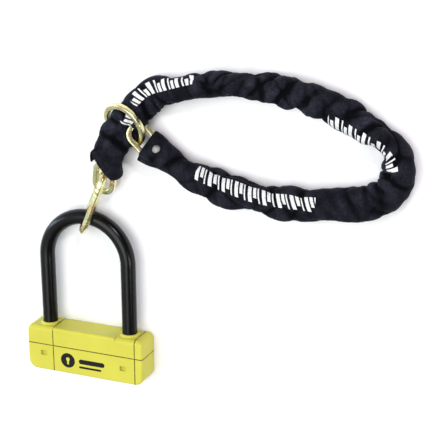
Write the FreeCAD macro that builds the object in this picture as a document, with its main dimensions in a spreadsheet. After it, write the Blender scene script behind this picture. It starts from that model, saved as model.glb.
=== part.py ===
"""U-shaped bicycle lock with a sleeved noose chain: a closed shackle lock lying on its back, a long link
hung on its bow, and a chain in a fabric sleeve whose end passes through a ring on its own first link.

Millimetres. Origin at the centre of the crossbar's back face, +Y towards the bow, +Z up out of the front.
The lock is closed but unlocked: the key plug is at its open stop and both bolts are drawn in.
"""
import FreeCAD, Part
import math
import os
import Sketcher
from FreeCAD import Placement, Rotation, Vector

doc = FreeCAD.newDocument("u_lock")

# ---------------------------------------------------------------- driving dimensions
SIZES = {
    # crossbar
    "bar_length": 154.0,
    "bar_width": 57.0,
    "bar_depth": 34.0,
    "cover_wall": 2.7,
    "cover_gap": 0.3,
    "back_round": 2.2,
    "front_round": 2.8,
    "shoulder_round": 6.0,
    "corner_round": 6.5,
    "foot_round": 11.0,
    "shoulder_x": 41.0,
    "seam": 0.6,
    "left_seam_x": -42.0,
    "right_seam_x": 67.0,
    "split_y": 5.5,
    # shackle
    "leg_spacing": 107.0,
    "rod_radius": 8.0,
    "coat_radius": 9.0,
    "leg_straight": 87.0,
    "leg_engaged": 44.0,
    "leg_bore_radius": 8.2,
    "notch_depth": 4.3,
    "notch_width": 10.8,
    "bolt_line_y": 8.5,
    # bolts
    "bolt_radius": 4.9,
    "bolt_inner_x": 4.8,
    "bolt_outer_x": 44.8,
    "bolt_travel": 4.5,
    "channel_radius": 6.7,
    # key cylinder
    "plug_radius": 6.0,
    "cylinder_radius": 9.4,
    "cylinder_end_y": 0.5,
    # keyhole shutter
    "shutter_travel": 16.0,
    # chain
    "link_wire": 6.0,
    "link_width": 9.8,
    "link_length": 28.0,
    "end_link_wire": 6.5,
    "end_link_width": 16.0,
    "end_link_length": 32.0,
    "long_link_wire": 7.0,
    "long_link_width": 21.6,
    "long_link_length": 72.0,
    "ring_radius": 25.2,
    "ring_lean": 28.5,
    # sleeve
    "sleeve_radius": 17.0,
    "sleeve_wall": 1.5,
    "tail_radius": 12.2,
    "tail_wall": 1.0,
    "tail_mouth_radius": 17.2,
}

sheet = doc.addObject("Spreadsheet::Sheet", "sizes")
for row, (alias, value) in enumerate(SIZES.items(), start=1):
    sheet.set(f"A{row}", alias)
    sheet.set(f"B{row}", str(value))
    sheet.setAlias(f"B{row}", alias)
doc.recompute()


def size(alias):
    """A driving dimension, read from the sheet."""
    return float(getattr(sheet, alias))


def expr(text):
    """The expression with every @name turned into a reference to the sheet."""
    return text.replace("@", "sizes.")


# ---------------------------------------------------------------- helpers
pieces = []


def keep(obj, label):
    """Mark an object as a finished sub-part under its own name."""
    obj.Label = label
    pieces.append(obj)
    return obj


def box(name, x0, y0, z0, length, width, height):
    """A Part::Box; each size and place is an expression on the sheet."""
    obj = doc.addObject("Part::Box", name)
    for prop, text in (("Length", length), ("Width", width), ("Height", height)):
        obj.setExpression(prop, expr(text))
    for axis, text in (("x", x0), ("y", y0), ("z", z0)):
        obj.setExpression(f".Placement.Base.{axis}", expr(text))
    return obj


TURN = {
    "+x": Rotation(Vector(0, 1, 0), 90),
    "-x": Rotation(Vector(0, 1, 0), -90),
    "+y": Rotation(Vector(1, 0, 0), -90),
    "-y": Rotation(Vector(1, 0, 0), 90),
    "+z": Rotation(),
}


def rod(name, axis, x0, y0, z0, radius, length):
    """A Part::Cylinder along a main axis from a start point."""
    obj = doc.addObject("Part::Cylinder", name)
    obj.Placement = Placement(Vector(), TURN[axis])
    obj.setExpression("Radius", expr(radius))
    obj.setExpression("Height", expr(length))
    for direction, text in (("x", x0), ("y", y0), ("z", z0)):
        obj.setExpression(f".Placement.Base.{direction}", expr(text))
    return obj


def cut(name, base, *tools):
    """base minus the tools."""
    tool = tools[0]
    if len(tools) > 1:
        tool = doc.addObject("Part::MultiFuse", name + "_tools")
        tool.Shapes = list(tools)
    obj = doc.addObject("Part::Cut", name)
    obj.Base = base
    obj.Tool = tool
    return obj


def fuse(name, *parts):
    obj = doc.addObject("Part::MultiFuse", name)
    obj.Shapes = list(parts)
    return obj


def common(name, first, second):
    obj = doc.addObject("Part::Common", name)
    obj.Base = first
    obj.Tool = second
    return obj


def feature(name, shape, place=None):
    """A Part::Feature for a shape that no parametric feature makes, with its placement set last."""
    obj = doc.addObject("Part::Feature", name)
    obj.Shape = shape
    if place is not None:
        obj.Placement = place
    return obj


MID = "@bar_depth / 2"
LEG = "@leg_spacing / 2"
TOP = "@bar_width / 2"
SIDES = (("left", -1), ("right", 1))


# ---------------------------------------------------------------- shackle
def body_plane(body, role):
    """One of the body's own origin planes."""
    return next(item for item in body.Origin.OriginFeatures if item.Role == role)


def bow_body(name, radius, leg_down):
    """A U of round bar: two padded legs and a half-turn revolution about the bow's centre."""
    body = doc.addObject("PartDesign::Body", name)
    sketches = []
    for part, sides in (("legs", (-1, 1)), ("bow", (1,))):
        sketch = body.newObject("Sketcher::SketchObject", f"{name}_{part}_sketch")
        sketch.AttachmentSupport = [(body_plane(body, "XZ_Plane"), "")]
        sketch.MapMode = "FlatFace"
        for side in sides:
            reach = side * size("leg_spacing") / 2
            circle = Part.Circle(Vector(reach, 0, 0), Vector(0, 0, 1), radius["value"])
            index = sketch.addGeometry(circle, False)
            sketch.addConstraint(Sketcher.Constraint("Radius", index, radius["value"]))
            sketch.setExpression(f"Constraints[{sketch.ConstraintCount - 1}]", expr(radius["expr"]))
            sketch.addConstraint(Sketcher.Constraint("PointOnObject", index, 3, -1))
            sketch.addConstraint(Sketcher.Constraint("DistanceX", -1, 1, index, 3, reach))
            sketch.setExpression(f"Constraints[{sketch.ConstraintCount - 1}]",
                                 expr(("-" if side < 0 else "") + "@leg_spacing / 2"))
        sketches.append(sketch)
    legs = body.newObject("PartDesign::Pad", f"{name}_legs")
    legs.Profile = sketches[0]
    legs.setExpression("Length", expr(leg_down))
    bow = body.newObject("PartDesign::Revolution", f"{name}_bow")
    bow.Profile = sketches[1]
    bow.ReferenceAxis = (sketches[1], ["V_Axis"])
    bow.Angle = 180.0
    body.Placement = Placement(Vector(0, size("bar_width") / 2 + size("leg_straight"), size("bar_depth") / 2),
                               Rotation())
    doc.recompute()
    if body.Shape.BoundBox.YMax < body.Placement.Base.y + size("leg_spacing") / 2:
        bow.Reversed = True
        doc.recompute()
    return body


def make_shackle():
    """The steel rod with its bolt notches, and the coat that covers it down to the crossbar."""
    steel = bow_body("shackle_rod", {"value": size("rod_radius") - 0.02, "expr": "@rod_radius - 0.02"},
                     "@leg_straight + @leg_engaged")
    notches = []
    for side, sign in SIDES:
        inner = f"-{LEG} + @rod_radius - @notch_depth" if sign < 0 else f"{LEG} - @rod_radius"
        notches.append(box(f"{side}_notch", inner, "@bolt_line_y - @notch_width / 2", f"{MID} - 9",
                           "@notch_depth", "@notch_width", "18"))
    keep(cut("shackle_bar_solid", steel, *notches), "shackle_bar")
    outer = bow_body("coat_outer", {"value": size("coat_radius"), "expr": "@coat_radius"},
                     "@leg_straight + 2.2")
    inner = bow_body("coat_inner", {"value": size("rod_radius"), "expr": "@rod_radius"},
                     "@leg_straight + 3.2")
    keep(cut("shackle_coat_solid", outer, inner), "shackle_coat")


# ---------------------------------------------------------------- crossbar case and covers
def make_case():
    """The steel block: two blind leg bores, the bolt channel across it and the cylinder bore."""
    inset = "(@cover_wall + @cover_gap)"
    block = box("case_block", f"-@bar_length / 2 + {inset}", f"-{TOP} + {inset}", inset,
                f"@bar_length - 2 * {inset}", f"@bar_width - 2 * {inset}", f"@bar_depth - 2 * {inset}")
    bores = [rod(f"{side}_bore", "-y", f"{sign} * {LEG}", TOP, MID, "@leg_bore_radius", "@leg_engaged + 1")
             for side, sign in SIDES]
    channel = rod("bolt_channel", "+x", "-@bar_length / 2", "@bolt_line_y", MID, "@channel_radius",
                  "@bar_length")
    cylinder = rod("cylinder_bore", "+y", "0", f"-{TOP}", MID, "@cylinder_radius + 0.1",
                   f"{TOP} + @bolt_line_y + 8")
    corners = rounded("case_form", block, lambda edge: end_round(edge) - 3 if is_upright(edge) else 0)
    keep(cut("case_solid", corners, channel, cylinder, *bores), "crossbar_case")


def is_upright(edge):
    """Whether an edge of a box runs from its back to its front."""
    return edge.BoundBox.ZLength > 1


def end_round(edge):
    """The rounding of an upright edge: larger at the foot of the crossbar than beside the legs."""
    return size("foot_round") if edge.BoundBox.Center.y < 0 else size("corner_round")


def rounded(name, block, radius_of):
    """The box with each edge rounded by the radius that radius_of gives for it, or left sharp at 0."""
    doc.recompute()
    fillet = doc.addObject("Part::Fillet", name)
    fillet.Base = block
    radii = [(number, radius_of(edge)) for number, edge in enumerate(block.Shape.Edges, start=1)]
    fillet.Edges = [(number, radius, radius) for number, radius in radii if radius]
    return fillet


def cover_form():
    """The covers' common outer form: a crisp middle, and softer shoulders round the legs at both ends."""
    def radius_of(edge, front_top):
        middle = edge.BoundBox.Center
        if is_upright(edge):
            return end_round(edge)
        if middle.z < size("bar_depth") / 2:
            return size("back_round")
        if edge.BoundBox.XLength > 1 and middle.y > 0:
            return front_top
        return size("front_round")

    forms = []
    for name, front_top in (("shoulder", size("shoulder_round")), ("middle", size("front_round"))):
        block = box(f"{name}_block", "-@bar_length / 2", f"-{TOP}", "0",
                    "@bar_length", "@bar_width", "@bar_depth")
        forms.append(rounded(f"{name}_form", block, lambda edge: radius_of(edge, front_top)))
    middle_zone = box("middle_zone", "@left_seam_x", f"-{TOP} - 1", "-1", "@shoulder_x - @left_seam_x",
                      "@bar_width + 2", "@bar_depth + 2")
    middle = common("cover_middle", forms[1], middle_zone)
    ends = cut("cover_ends", forms[0], middle_zone)
    return fuse("cover_blank", middle, ends)


def make_covers():
    """Six plastic shells that snap together round the case, split by two cross seams and one long seam."""
    hollow = box("cover_cavity", "-@bar_length / 2 + @cover_wall", f"-{TOP} + @cover_wall", "@cover_wall",
                 "@bar_length - 2 * @cover_wall", "@bar_width - 2 * @cover_wall",
                 "@bar_depth - 2 * @cover_wall")
    inner = rounded("cavity_form", hollow, lambda edge: end_round(edge) - 2.7 if is_upright(edge) else 0)
    holes = [rod(f"{side}_leg_hole", "-y", f"{sign} * {LEG}", f"{TOP} + 1", MID, "@coat_radius + 2.3", "6")
             for side, sign in SIDES]
    keyhole = rod("keyhole", "+y", "0", f"-{TOP} - 1", MID, "@plug_radius + 0.3", "6")
    track = box("shutter_track", "-8.4", f"-{TOP} + 0.9", f"{MID} - 7.3",
                "@shutter_travel + 16.8", "1.2", "14.6")
    window = box("shutter_window", "-8.4", f"-{TOP} - 1", f"{MID} - 5.2",
                 "@shutter_travel + 16.8", "2", "10.4")
    snaps = []
    for name, x, y in (("left", "-59", "-9"), ("right", "47.5", "-12.5")):
        pocket = box(f"{name}_snap_pocket", x, y, "@bar_depth - 2.1", "8.4", "6.2", "5")
        pocket.Placement.Rotation = Rotation(Vector(0, 1, 0), -8)
        snaps.append(pocket)
    shell = cut("cover_shell", cover_form(), inner, keyhole, track, window, *holes, *snaps)
    columns = (("left", "-@bar_length / 2 - 1", "@left_seam_x - @seam / 2"),
               ("centre", "@left_seam_x + @seam / 2", "@right_seam_x - @seam / 2"),
               ("right", "@right_seam_x + @seam / 2", "@bar_length / 2 + 1"))
    rows = (("upper", "@split_y + @seam / 2", f"{TOP} + 1"), ("lower", f"-{TOP} - 1", "@split_y - @seam / 2"))
    for column, x0, x1 in columns:
        for row, y0, y1 in rows:
            region = box(f"{column}_{row}_region", x0, y0, "-1", f"({x1}) - ({x0})", f"({y1}) - ({y0})",
                         "@bar_depth + 2")
            keep(common(f"{column}_{row}_cover_solid", shell, region), f"{column}_{row}_cover")


def make_leg_fittings():
    """Flared collars round the coated legs, and the hard bushes and plugs of the bolt channel."""
    for side, sign in SIDES:
        stem = rod(f"{side}_collar_stem", "-y", f"{sign} * {LEG}", TOP, MID, "@coat_radius + 2.2",
                   "@cover_wall")
        flare = doc.addObject("Part::Cone", f"{side}_collar_flare")
        flare.Placement = Placement(Vector(), TURN["+y"])
        flare.setExpression("Radius1", expr("@coat_radius + 3.2"))
        flare.setExpression("Radius2", expr("@coat_radius + 1.3"))
        flare.Height = 2.6
        for axis, text in (("x", f"{sign} * {LEG}"), ("y", TOP), ("z", MID)):
            flare.setExpression(f".Placement.Base.{axis}", expr(text))
        inner = rod(f"{side}_collar_inner", "-y", f"{sign} * {LEG}", f"{TOP} + 4", MID,
                    "@coat_radius + 0.06", "9")
        collar = fuse(f"{side}_collar", stem, flare)
        keep(cut(f"{side}_leg_collar_solid", collar, inner), f"{side}_leg_collar")
    bushes = []
    plugs = []
    for side, sign in SIDES:
        axis = "+x" if sign > 0 else "-x"
        outer = rod(f"{side}_bush_outer", axis, f"{sign} * 34.3", "@bolt_line_y", MID,
                    "@channel_radius - 0.02", "9.5")
        inner = rod(f"{side}_bush_inner", axis, f"{sign} * 33", "@bolt_line_y", MID,
                    "@bolt_radius + 0.06", "12")
        bushes.append(cut(f"{side}_bush", outer, inner))
        plugs.append(rod(f"{side}_plug", axis, f"{sign} * 64", "@bolt_line_y", MID, "@channel_radius - 0.02",
                         "@bar_length / 2 - 64 - @cover_wall - @cover_gap"))
    keep(fuse("bolt_bushes_solid", *bushes), "bolt_bushes")
    keep(fuse("channel_plugs_solid", *plugs), "channel_plugs")


# ---------------------------------------------------------------- bolts
def spring_shape(radius, wire, length, turns):
    """A compression spring along +Z with its coils at even spacing."""
    pitch = (length - wire) / turns
    helix = Part.makeLongHelix(pitch, pitch * turns, radius)
    start = Vector(radius, 0, 0)
    section = Part.Wire([Part.makeCircle(wire / 2, start, Vector(0, 1, 0))])
    coil = Part.Wire(helix.Edges).makePipeShell([section], True, True)
    coil.translate(Vector(0, 0, wire / 2))
    return coil


def make_bolts():
    """Two round bolts with a collar each, and the springs that draw them in, modelled at closed length."""
    for side, sign in SIDES:
        axis = "+x" if sign > 0 else "-x"
        stem = rod(f"{side}_bolt_stem", axis, f"{sign} * @bolt_inner_x", "@bolt_line_y", MID, "@bolt_radius",
                   "@bolt_outer_x - @bolt_inner_x")
        collar = rod(f"{side}_bolt_collar", axis, f"{sign} * 14", "@bolt_line_y", MID,
                     "@channel_radius - 0.15", "3")
        keep(fuse(f"{side}_bolt_solid", stem, collar), f"{side}_bolt")
        coil = spring_shape(5.75, 1.2, 12.0, 6)
        place = Placement(Vector(sign * 22.2, size("bolt_line_y"), size("bar_depth") / 2), TURN[axis])
        keep(feature(f"{side}_spring", coil, place), f"{side}_bolt_spring")


# ---------------------------------------------------------------- key cylinder
def make_cylinder():
    """Brass housing, turning plug with its discs, sidebar, drill plate, clip, cam and keyhole shutter."""
    front = f"-{TOP} + @cover_wall + @cover_gap"
    plate_depth = "1.6"
    plate = rod("plate_disc", "+y", "0", front, MID, "@cylinder_radius", plate_depth)
    plate_hole = rod("plate_hole", "+y", "0", f"{front} - 1", MID, "3.4", "4")
    keep(cut("drill_plate_solid", plate, plate_hole), "drill_plate")
    seat = f"{front} + {plate_depth}"
    outer = rod("housing_outer", "+y", "0", seat, MID, "@cylinder_radius", f"@cylinder_end_y - ({seat})")
    bore = rod("housing_bore", "+y", "0", f"{seat} - 1", MID, "@plug_radius + 0.05",
               f"@cylinder_end_y - ({seat}) - 1")
    tail_hole = rod("housing_tail_hole", "+y", "0", f"{seat} - 1", MID, "3.2", "60")
    slot = box("sidebar_slot", "-1.3", f"{seat} + 2", f"{MID} + 5", "2.6", "18.4", "3.2")
    keep(cut("cylinder_solid", outer, bore, tail_hole, slot), "cylinder_housing")
    bar = box("sidebar_bar", "-1.2", f"{seat} + 2.2", f"{MID} + 6.1", "2.4", "18", "1.9")
    keep(bar, "sidebar")
    plug = rod("plug_barrel", "+y", "0", f"{seat} + 0.1", MID, "@plug_radius",
               f"@cylinder_end_y - ({seat}) - 2.4")
    tail = rod("plug_tail", "+y", "0", "@cylinder_end_y - 4", MID, "3.1",
               "@bolt_line_y - @cylinder_end_y + 9")
    keyway = box("plug_keyway", "-1.1", f"{seat} - 1", f"{MID} - 2.9", "2.2", "22", "5.8")
    slots = [box(f"disc_slot_{number}", "-4.2", f"{seat} + {3 + 3.2 * number}", f"{MID} - 4.2",
                 "8.4", "1.9", "10.4")
             for number in range(5)]
    keep(cut("plug_solid", fuse("plug_blank", plug, tail), keyway, *slots), "key_plug")
    discs = []
    for number in range(5):
        disc = box(f"disc_{number}", "-4", f"{seat} + {3.2 + 3.2 * number}", f"{MID} - 4",
                   "8", "1.5", "8.4")
        opening = box(f"disc_opening_{number}", "-1.6", f"{seat} + {3 + 3.2 * number}", f"{MID} - 3",
                      "3.2", "2", f"{5.4 + 0.3 * (number % 3)}")
        discs.append(cut(f"disc_{number}_cut", disc, opening))
    keep(fuse("discs_solid", *discs), "lock_discs")
    clip_outer = rod("clip_outer", "+y", "0", "@cylinder_end_y + 0.3", MID, "5.4", "1")
    clip_inner = rod("clip_inner", "+y", "0", "@cylinder_end_y", MID, "3.12", "2")
    clip_mouth = box("clip_mouth", "-1.6", "@cylinder_end_y", MID, "3.2", "2", "8")
    keep(cut("clip_solid", clip_outer, clip_inner, clip_mouth), "plug_clip")
    make_cam()
    make_shutter()


def make_cam():
    """An oval cam on the plug's tail: its short axis faces the bolts when unlocked."""
    short = 4.0
    long = short + size("bolt_travel")
    thick = 7.0
    oval = Part.Ellipse(Vector(0, 0, 0), long, short).toShape()
    blank = Part.Face(Part.Wire([oval])).extrude(Vector(0, 0, thick))
    blank = blank.cut(Part.makeCylinder(3.12, thick + 2, Vector(0, 0, -1)))
    turn = Rotation(Vector(0, 1, 0), 90).multiply(Rotation(Vector(1, 0, 0), -90))
    place = Placement(Vector(0, size("bolt_line_y") - thick / 2, size("bar_depth") / 2), turn)
    keep(feature("cam", blank, place), "bolt_cam")


def make_shutter():
    """A thin slide in the lower cover that hides the keyhole."""
    plate = box("shutter_plate", "-8", f"-{TOP} + 1.1", f"{MID} - 7", "16", "0.8", "14")
    ridge = box("shutter_ridge", "-6", f"-{TOP} + 0.2", f"{MID} - 4", "12", "1.2", "8")
    ribs = [box(f"shutter_groove_{number}", f"{-4 + 3 * number}", f"-{TOP} - 0.4", f"{MID} - 5",
                "1", "1", "10")
            for number in range(3)]
    keep(cut("shutter_solid", fuse("shutter_blank", plate, ridge), *ribs), "keyhole_shutter")


# ---------------------------------------------------------------- sleeve route
# Corners of the sleeve's centre line, from the noose end round the loop to the tail.
ROUTE = [Vector(*point) for point in (
    (80.5, 261, 17.8), (110, 246, 17.2), (137, 231, 17.2), (171, 221, 17.2), (209, 214.5, 17.2),
    (248, 212, 17.2), (286, 215.5, 17.2), (321, 219.5, 17.2), (351, 228, 17.2), (367, 244.5, 17.2),
    (371, 267, 17.2), (362, 288, 17.2), (339, 302, 17.2), (306, 318, 17.2), (270, 330.5, 17.2),
    (234, 337, 17.2), (202, 340, 17.2), (148, 336, 17.0), (115, 327.5, 14.3), (84, 320.5, 14.6),
    (57, 284.5, 23.4), (36, 254, 30.5), (29, 230, 20))]
TAPER_RUN = 16
RING_CORNER = 20


def rounded_route(points):
    """Straight runs joined by tangent arcs: a list of edges, and the smallest arc radius."""
    edges = []
    radii = []
    here = points[0]
    for before, corner, after in zip(points, points[1:], points[2:]):
        arriving = (corner - before).normalize()
        leaving = (after - corner).normalize()
        turn = arriving.getAngle(leaving)
        reach = 0.45 * min((corner - before).Length, (after - corner).Length)
        radius = reach / math.tan(turn / 2)
        start = corner - arriving * reach
        end = corner + leaving * reach
        inward = (leaving - arriving).normalize()
        middle = corner + inward * (radius / math.cos(turn / 2) - radius)
        edges.append(Part.LineSegment(here, start).toShape())
        edges.append(Part.Arc(start, middle, end).toShape())
        radii.append(radius)
        here = end
    edges.append(Part.LineSegment(here, points[-1]).toShape())
    return edges, radii


def swept(edges, radius):
    """A round bar along joined edges."""
    start = edges[0].valueAt(edges[0].FirstParameter)
    direction = edges[0].tangentAt(edges[0].FirstParameter)
    section = Part.Wire([Part.makeCircle(radius, start, direction)])
    return Part.Wire(edges).makePipeShell([section], True, True)


def cone_between(start, end, first_radius, last_radius):
    return Part.makeCone(first_radius, last_radius, (end - start).Length, start, (end - start).normalize())


def route_bar(edges, body_radius, tail_radius, mouth_radius):
    """The route as a solid: full size, a taper on one straight run, the slim tail and its flared mouth."""
    taper = edges[2 * TAPER_RUN]
    taper_start = taper.valueAt(taper.FirstParameter)
    taper_end = taper.valueAt(taper.LastParameter)
    along = (taper_end - taper_start).normalize()
    cone_start = taper_start + along * 2
    cone_end = taper_end - along * 2
    flare = edges[-1]
    flare_start = flare.valueAt(flare.FirstParameter)
    flare_end = flare.valueAt(flare.LastParameter)
    flare_from = flare_start + (flare_end - flare_start).normalize() * 2
    head = edges[:2 * TAPER_RUN] + [Part.LineSegment(taper_start, cone_start).toShape()]
    tail = ([Part.LineSegment(cone_end, taper_end).toShape()] + edges[2 * TAPER_RUN + 1:-1]
            + [Part.LineSegment(flare_start, flare_from).toShape()])
    return swept(head, body_radius).fuse([
        cone_between(cone_start, cone_end, body_radius, tail_radius),
        swept(tail, tail_radius),
        cone_between(flare_from, flare_end, tail_radius, mouth_radius)])


def make_sleeve(edges):
    """The fabric sleeve as one hollow tube, open at both mouths."""
    outer = route_bar(edges, size("sleeve_radius"), size("tail_radius"), size("tail_mouth_radius"))
    inner = route_bar(edges, size("sleeve_radius") - size("sleeve_wall"),
                      size("tail_radius") - size("tail_wall"),
                      size("tail_mouth_radius") - size("tail_wall"))
    keep(feature("sleeve", outer.cut(inner)), "chain_sleeve")


# ---------------------------------------------------------------- chain
def link_shape(wire, width, length):
    """A long round-ended link of round wire, lying in XY with its length along X."""
    radius = (width + wire) / 2
    half = (length - width) / 2
    corners = (Vector(-half, radius, 0), Vector(half, radius, 0),
               Vector(half, -radius, 0), Vector(-half, -radius, 0))
    path = Part.Wire([
        Part.LineSegment(corners[0], corners[1]).toShape(),
        Part.Arc(corners[1], Vector(half + radius, 0, 0), corners[2]).toShape(),
        Part.LineSegment(corners[2], corners[3]).toShape(),
        Part.Arc(corners[3], Vector(-half - radius, 0, 0), corners[0]).toShape()])
    section = Part.Wire([Part.makeCircle(wire / 2, corners[0], Vector(1, 0, 0))])
    return path.makePipeShell([section], True, True)


def link_place(centre, direction, roll):
    """Placement of a link: length along direction, its flat rolled about it from level."""
    along = Vector(direction).normalize()
    level = Vector(0, 0, 1).cross(along).normalize()
    upward = along.cross(level)
    side = level * math.cos(math.radians(roll)) + upward * math.sin(math.radians(roll))
    return Placement(centre, Rotation(along, side, along.cross(side), "XYZ"))


NOOSE_LINK = {"centre": Vector(80.1, 270.2, 22.5), "yaw": -50.0, "pitch": -12.0, "roll": -30.0}
TAIL_LINK = {"centre": Vector(27.7, 220.9, 19.2), "yaw": 78.2, "pitch": 11.5, "roll": 0.0}
LONG_LINK = {"centre": Vector(11.0, 188.9, 17.0), "yaw": 66.4, "pitch": 0.0, "roll": 115.0}


def heading(pose):
    """Unit vector of a pose's yaw and pitch."""
    yaw = math.radians(pose["yaw"])
    pitch = math.radians(pose["pitch"])
    return Vector(math.cos(yaw) * math.cos(pitch), math.sin(yaw) * math.cos(pitch), math.sin(pitch))


def posed_link(name, pose, wire, width, length):
    place = link_place(pose["centre"], heading(pose), pose["roll"])
    return keep(feature(name + "_solid", link_shape(wire, width, length), place), name)


def make_chain(edges):
    """End links, ring and long link, and the plain links threaded along the route between the end links."""
    wire = size("link_wire")
    end_wire = size("end_link_wire")
    posed_link("noose_link", NOOSE_LINK, end_wire, size("end_link_width"), size("end_link_length"))
    posed_link("tail_link", TAIL_LINK, end_wire, size("end_link_width"), size("end_link_length"))
    posed_link("long_link", LONG_LINK, size("long_link_wire"), size("long_link_width"),
               size("long_link_length"))
    first = NOOSE_LINK["centre"] + heading(NOOSE_LINK) * (size("end_link_length") / 2)
    last = TAIL_LINK["centre"] + heading(TAIL_LINK) * (size("end_link_length") / 2)
    path = Part.Wire(edges)
    fine = path.discretize(Distance=0.5)
    start = min(range(len(fine)), key=lambda index: (fine[index] - first).Length)
    end = min(range(len(fine)), key=lambda index: (fine[index] - last).Length)
    count = math.ceil((end - start) * 0.5 / (size("link_length") - 0.5))
    joints = [fine[round(start + (end - start) * number / count)] for number in range(count + 1)]
    joints[0] = first
    joints[-1] = last
    for number, (near, far) in enumerate(zip(joints, joints[1:]), start=1):
        untwist = NOOSE_LINK["roll"] * max(0.0, 1.0 - (number - 1) / 6)
        roll = untwist + (90.0 if number % 2 else 0.0)
        shape = link_shape(wire, size("link_width"), size("link_length"))
        link = feature(f"link_{number:02d}", shape, link_place((near + far) * 0.5, far - near, roll))
        keep(link, f"chain_link_{number:02d}")
    print("chain links", count, "spacing", round((end - start) * 0.5 / count, 2))


def make_ring():
    """The noose ring: it leans over the sleeve that runs through it, and its side lies in the noose link."""
    centre = ROUTE[RING_CORNER]
    across = Vector(0.8, -0.6, 0)
    along = Vector(0.6, 0.8, 0)
    lean = math.radians(size("ring_lean"))
    rising = along * math.cos(lean) + Vector(0, 0, 1) * math.sin(lean)
    normal = across.cross(rising)
    torus = Part.makeTorus(size("ring_radius"), size("end_link_wire") / 2)
    keep(feature("ring", torus, Placement(centre, Rotation(across, rising, normal, "XYZ"))), "noose_ring")
    print("ring axis", normal)


def make_rivet():
    """The rivet in the sleeve's upper wall behind the noose link, and the washer inside the wall."""
    along = (ROUTE[1] - ROUTE[0]).normalize()
    side = Vector(0, 0, 1).cross(along)
    tilt = math.radians(35)
    outward = Vector(0, 0, 1) * math.cos(tilt) + side * math.sin(tilt)
    wall = ROUTE[0] + along * 15 + outward * size("sleeve_radius")
    head = Part.makeCylinder(4.0, 1.2, wall - outward * 0.4, outward)
    shank = Part.makeCylinder(1.6, 3.0, wall - outward * 3, outward)
    keep(feature("rivet", head.fuse(shank)), "sleeve_rivet")
    washer = Part.makeCylinder(3.6, 0.8, wall - outward * 2.8, outward)
    hole = Part.makeCylinder(1.62, 2, wall - outward * 3.5, outward)
    keep(feature("washer", washer.cut(hole)), "rivet_washer")


make_shackle()
make_case()
make_covers()
make_leg_fittings()
make_bolts()
make_cylinder()
route_edges, route_radii = rounded_route(ROUTE)
make_sleeve(route_edges)
make_chain(route_edges)
make_ring()
make_rivet()
doc.recompute()

# ---------------------------------------------------------------- checks and files
print("route length", round(sum(edge.Length for edge in route_edges), 1))
print("arc radii", [round(radius, 1) for radius in route_radii])
for item in doc.Objects:
    if "Invalid" in item.State or "Error" in item.State:
        raise RuntimeError(f"{item.Name} failed: {item.State}")
os.makedirs("parts", exist_ok=True)
for piece in pieces:
    shape = piece.Shape
    if shape.isNull() or not shape.isValid() or not shape.Solids:
        raise RuntimeError(f"{piece.Label} has no valid solid")
    shape.exportStep(f"parts/{piece.Label}.step")
    print(f"{piece.Label:24s} {shape.Volume:12.1f} mm3  {len(shape.Solids)} solid")
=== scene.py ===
"""A closed bicycle U lock lying on its back, with a long link on its bow and a chain in a fabric sleeve
that is drawn into a noose through a ring. Metres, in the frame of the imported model."""
import math

import bmesh
import bpy
import numpy as np
from mathutils import Matrix, Vector


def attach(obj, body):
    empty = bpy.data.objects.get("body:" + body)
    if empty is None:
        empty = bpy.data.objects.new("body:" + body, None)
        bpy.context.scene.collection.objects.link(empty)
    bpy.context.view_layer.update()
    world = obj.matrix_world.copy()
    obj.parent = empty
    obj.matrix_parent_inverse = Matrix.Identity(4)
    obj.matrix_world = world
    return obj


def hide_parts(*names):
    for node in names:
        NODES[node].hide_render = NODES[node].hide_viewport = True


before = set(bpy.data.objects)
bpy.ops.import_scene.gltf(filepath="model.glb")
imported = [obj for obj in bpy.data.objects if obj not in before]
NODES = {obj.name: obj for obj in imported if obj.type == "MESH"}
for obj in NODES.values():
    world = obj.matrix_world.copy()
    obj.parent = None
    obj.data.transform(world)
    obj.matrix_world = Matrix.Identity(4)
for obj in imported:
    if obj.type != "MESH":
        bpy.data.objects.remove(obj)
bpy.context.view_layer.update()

# ---------------------------------------------------------------- camera, table and light
CAMERA_PLACE = (0.6487, 0.5926, 1.1961)
CAMERA_RIGHT = (0.928, -0.001, -0.373)
CAMERA_BACK = (0.355, 0.308, 0.882)
CAMERA_LENS = 96.43
CAMERA_SENSOR = 36
CAMERA_REACH = 20

TABLE_REACH = 6.0
TABLE_DROP = 0.0002
TABLE_WHITE = (0.97, 0.97, 0.97)

SUN_TOWARDS = (-0.03, 0.05, 1.0)
SUN_ENERGY = 1.97
SUN_WIDTH = 52  # degrees

# The sky brightens along one direction: how far along it each end of the ramp stands, and its colour there.
SKY_TOWARDS = (-0.80, 0.05, 0.60)
SKY_RAMP = ((0.15, (0.13, 0.13, 0.14, 1)), (0.98, (0.95, 0.98, 1.0, 1)))
SKY_STRENGTH = 0.80

# name, place, width and height, watts, colour, and the point that it faces
SOFTBOXES = (
    ("right_box", (1.25, -0.15, 0.75), (0.35, 0.5), 3.6, (1, 1, 1), (0.15, 0.15, 0.0)),
    ("left_box", (-1.2, 0.40, 0.45), (0.22, 1.0), 6.0, (0.62, 0.82, 1.0), (0.15, 0.15, 0.0)),
    ("strip_box", (0.62, 0.95, 0.75), (0.20, 0.035), 4.0, (1.0, 0.91, 1.0), (0.02, 0.15, 0.02)),
)


def add_object(name, data):
    made = bpy.data.objects.new(name, data)
    bpy.context.collection.objects.link(made)
    return made


def axes(x, y, z):
    """The 4x4 rotation whose axes are these three unit vectors."""
    return Matrix((x, y, z)).transposed().to_4x4()


def turned_to(direction):
    """The 4x4 rotation of a lamp whose back points along the direction."""
    return Vector(direction).to_track_quat("Z", "Y").to_matrix().to_4x4()


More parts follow.
